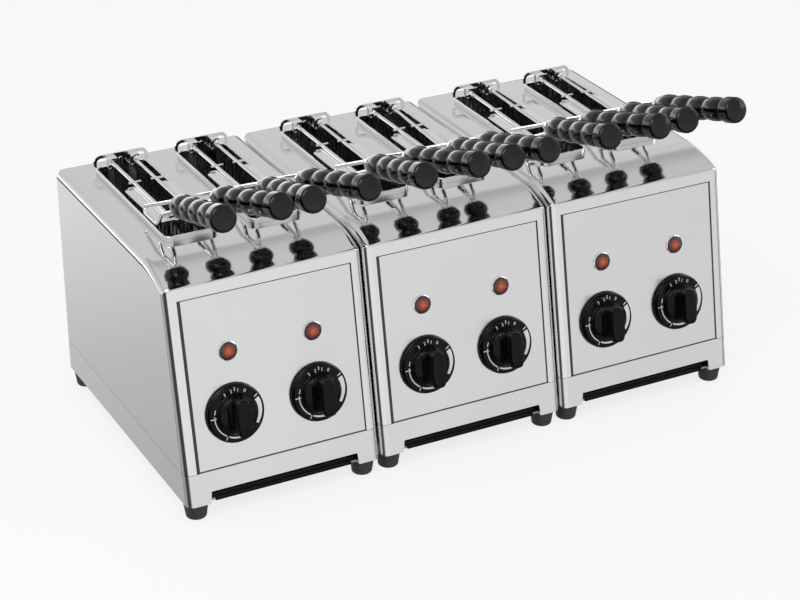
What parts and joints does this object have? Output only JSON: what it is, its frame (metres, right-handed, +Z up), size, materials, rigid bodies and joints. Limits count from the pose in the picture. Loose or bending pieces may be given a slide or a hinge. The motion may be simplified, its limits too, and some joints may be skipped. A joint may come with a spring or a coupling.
{
  "type": "clamp toaster",
  "caption": "Counter-top clamp toaster: steel modules in a row with open slots, lift-out wire tongs on black handles, timer knobs, red lamps and crumb trays.",
  "frame": {"origin": "on the table under the middle of the whole object", "axes": "+X across the row of modules to the viewer's right, +Y to the back, +Z up; the fronts face -Y"},
  "size_m": [0.5386, 0.324, 0.2933],
  "materials": {
    "hood_steel": "polished",
    "panel_steel": "satin",
    "bright_wire": "polished",
    "collar_steel": "polished",
    "inner_steel": "satin",
    "black_plastic": "gloss",
    "black_rubber": "matt",
    "grey_plastic": "matt",
    "red_lens": "gloss",
    "quartz": "milky",
    "white_ceramic": "matt"
  },
  "bodies": {
    "toaster": {"housing_left": "hood_steel", "front_panel_left": "panel_steel", "plinth_left": "panel_steel", "housing_middle": "hood_steel", "front_panel_middle": "panel_steel", "plinth_middle": "panel_steel", "housing_right": "hood_steel", "front_panel_right": "panel_steel", "plinth_right": "panel_steel", "slot_collars": "collar_steel", "rear_covers": "panel_steel", "cable_glands": "grey_plastic", "case_screws": "bright_wire", "rubber_feet": "black_rubber", "tie_bars": "inner_steel", "lamp_bezels": "bright_wire", "lamp_lenses": "red_lens", "timers": "grey_plastic", "element_frames": "inner_steel", "quartz_tubes": "quartz", "tube_caps": "white_ceramic"},
    "tray_left": {"crumb_tray_left": "inner_steel"},
    "tray_middle": {"crumb_tray_middle": "inner_steel"},
    "tray_right": {"crumb_tray_right": "inner_steel"},
    "timer_knob_1": {"knob_1": "black_plastic"},
    "timer_knob_2": {"knob_2": "black_plastic"},
    "timer_knob_3": {"knob_3": "black_plastic"},
    "timer_knob_4": {"knob_4": "black_plastic"},
    "timer_knob_5": {"knob_5": "black_plastic"},
    "timer_knob_6": {"knob_6": "black_plastic"},
    "tong_1": {"tong_1_hanger": "bright_wire"},
    "tong_1_left": {"tong_1_left_jaw": "bright_wire", "tong_1_left_grip": "black_plastic"},
    "tong_1_right": {"tong_1_right_jaw": "bright_wire", "tong_1_right_grip": "black_plastic"},
    "tong_2": {"tong_2_hanger": "bright_wire"},
    "tong_2_left": {"tong_2_left_jaw": "bright_wire", "tong_2_left_grip": "black_plastic"},
    "tong_2_right": {"tong_2_right_jaw": "bright_wire", "tong_2_right_grip": "black_plastic"},
    "tong_3": {"tong_3_hanger": "bright_wire"},
    "tong_3_left": {"tong_3_left_jaw": "bright_wire", "tong_3_left_grip": "black_plastic"},
    "tong_3_right": {"tong_3_right_jaw": "bright_wire", "tong_3_right_grip": "black_plastic"},
    "tong_4": {"tong_4_hanger": "bright_wire"},
    "tong_4_left": {"tong_4_left_jaw": "bright_wire", "tong_4_left_grip": "black_plastic"},
    "tong_4_right": {"tong_4_right_jaw": "bright_wire", "tong_4_right_grip": "black_plastic"},
    "tong_5": {"tong_5_hanger": "bright_wire"},
    "tong_5_left": {"tong_5_left_jaw": "bright_wire", "tong_5_left_grip": "black_plastic"},
    "tong_5_right": {"tong_5_right_jaw": "bright_wire", "tong_5_right_grip": "black_plastic"},
    "tong_6": {"tong_6_hanger": "bright_wire"},
    "tong_6_left": {"tong_6_left_jaw": "bright_wire", "tong_6_left_grip": "black_plastic"},
    "tong_6_right": {"tong_6_right_jaw": "bright_wire", "tong_6_right_grip": "black_plastic"}
  },
  "joints": [
    {"name": "tray_left_slide", "type": "slide", "parent": "toaster", "child": "tray_left", "axis": [0, -1, 0], "range_m": [0, 0.2]},
    {"name": "tray_middle_slide", "type": "slide", "parent": "toaster", "child": "tray_middle", "axis": [0, -1, 0], "range_m": [0, 0.2]},
    {"name": "tray_right_slide", "type": "slide", "parent": "toaster", "child": "tray_right", "axis": [0, -1, 0], "range_m": [0, 0.2]},
    {"name": "knob_1_turn", "type": "hinge", "parent": "toaster", "child": "timer_knob_1", "pos_m": [-0.21875, -0.11968, 0.08773], "axis": [0, 0.9833, -0.1822], "range_deg": [0, 300]},
    {"name": "knob_2_turn", "type": "hinge", "parent": "toaster", "child": "timer_knob_2", "pos_m": [-0.14225, -0.11968, 0.08773], "axis": [0, 0.9833, -0.1822], "range_deg": [0, 300]},
    {"name": "knob_3_turn", "type": "hinge", "parent": "toaster", "child": "timer_knob_3", "pos_m": [-0.03875, -0.11968, 0.08773], "axis": [0, 0.9833, -0.1822], "range_deg": [0, 300]},
    {"name": "knob_4_turn", "type": "hinge", "parent": "toaster", "child": "timer_knob_4", "pos_m": [0.03775, -0.11968, 0.08773], "axis": [0, 0.9833, -0.1822], "range_deg": [0, 300]},
    {"name": "knob_5_turn", "type": "hinge", "parent": "toaster", "child": "timer_knob_5", "pos_m": [0.14125, -0.11968, 0.08773], "axis": [0, 0.9833, -0.1822], "range_deg": [0, 300]},
    {"name": "knob_6_turn", "type": "hinge", "parent": "toaster", "child": "timer_knob_6", "pos_m": [0.21775, -0.11968, 0.08773], "axis": [0, 0.9833, -0.1822], "range_deg": [0, 300]},
    {"name": "tong_1_lift", "type": "slide", "parent": "toaster", "child": "tong_1", "axis": [0, 0, 1], "range_m": [0, 0.15]},
    {"name": "tong_1_left_close", "type": "hinge", "parent": "tong_1", "child": "tong_1_left", "pos_m": [-0.22615, 0.118, 0.222], "axis": [0, 0, 1], "range_deg": [0, 2]},
    {"name": "tong_1_right_close", "type": "hinge", "parent": "tong_1", "child": "tong_1_right", "pos_m": [-0.20575, 0.118, 0.222], "axis": [0, 0, 1], "range_deg": [-2, 0]},
    {"name": "tong_2_lift", "type": "slide", "parent": "toaster", "child": "tong_2", "axis": [0, 0, 1], "range_m": [0, 0.15]},
    {"name": "tong_2_left_close", "type": "hinge", "parent": "tong_2", "child": "tong_2_left", "pos_m": [-0.14915, 0.118, 0.222], "axis": [0, 0, 1], "range_deg": [0, 2]},
    {"name": "tong_2_right_close", "type": "hinge", "parent": "tong_2", "child": "tong_2_right", "pos_m": [-0.12875, 0.118, 0.222], "axis": [0, 0, 1], "range_deg": [-2, 0]},
    {"name": "tong_3_lift", "type": "slide", "parent": "toaster", "child": "tong_3", "axis": [0, 0, 1], "range_m": [0, 0.15]},
    {"name": "tong_3_left_close", "type": "hinge", "parent": "tong_3", "child": "tong_3_left", "pos_m": [-0.04615, 0.118, 0.222], "axis": [0, 0, 1], "range_deg": [0, 2]},
    {"name": "tong_3_right_close", "type": "hinge", "parent": "tong_3", "child": "tong_3_right", "pos_m": [-0.02575, 0.118, 0.222], "axis": [0, 0, 1], "range_deg": [-2, 0]},
    {"name": "tong_4_lift", "type": "slide", "parent": "toaster", "child": "tong_4", "axis": [0, 0, 1], "range_m": [0, 0.15]},
    {"name": "tong_4_left_close", "type": "hinge", "parent": "tong_4", "child": "tong_4_left", "pos_m": [0.03085, 0.118, 0.222], "axis": [0, 0, 1], "range_deg": [-1.6, 0.4]},
    {"name": "tong_4_right_close", "type": "hinge", "parent": "tong_4", "child": "tong_4_right", "pos_m": [0.05125, 0.118, 0.222], "axis": [0, 0, 1], "range_deg": [-0.4, 1.6]},
    {"name": "tong_5_lift", "type": "slide", "parent": "toaster", "child": "tong_5", "axis": [0, 0, 1], "range_m": [0, 0.15]},
    {"name": "tong_5_left_close", "type": "hinge", "parent": "tong_5", "child": "tong_5_left", "pos_m": [0.13385, 0.118, 0.222], "axis": [0, 0, 1], "range_deg": [0, 2]},
    {"name": "tong_5_right_close", "type": "hinge", "parent": "tong_5", "child": "tong_5_right", "pos_m": [0.15425, 0.118, 0.222], "axis": [0, 0, 1], "range_deg": [-2, 0]},
    {"name": "tong_6_lift", "type": "slide", "parent": "toaster", "child": "tong_6", "axis": [0, 0, 1], "range_m": [0, 0.15]},
    {"name": "tong_6_left_close", "type": "hinge", "parent": "tong_6", "child": "tong_6_left", "pos_m": [0.21085, 0.118, 0.222], "axis": [0, 0, 1], "range_deg": [0, 2]},
    {"name": "tong_6_right_close", "type": "hinge", "parent": "tong_6", "child": "tong_6_right", "pos_m": [0.23125, 0.118, 0.222], "axis": [0, 0, 1], "range_deg": [-2, 0]}
  ],
  "couplings": [
    {"joint": "tong_1_right_close", "follows": "tong_1_left_close", "ratio": -1},
    {"joint": "tong_2_right_close", "follows": "tong_2_left_close", "ratio": -1},
    {"joint": "tong_3_right_close", "follows": "tong_3_left_close", "ratio": -1},
    {"joint": "tong_4_right_close", "follows": "tong_4_left_close", "ratio": -1},
    {"joint": "tong_5_right_close", "follows": "tong_5_left_close", "ratio": -1},
    {"joint": "tong_6_right_close", "follows": "tong_6_left_close", "ratio": -1}
  ]
}
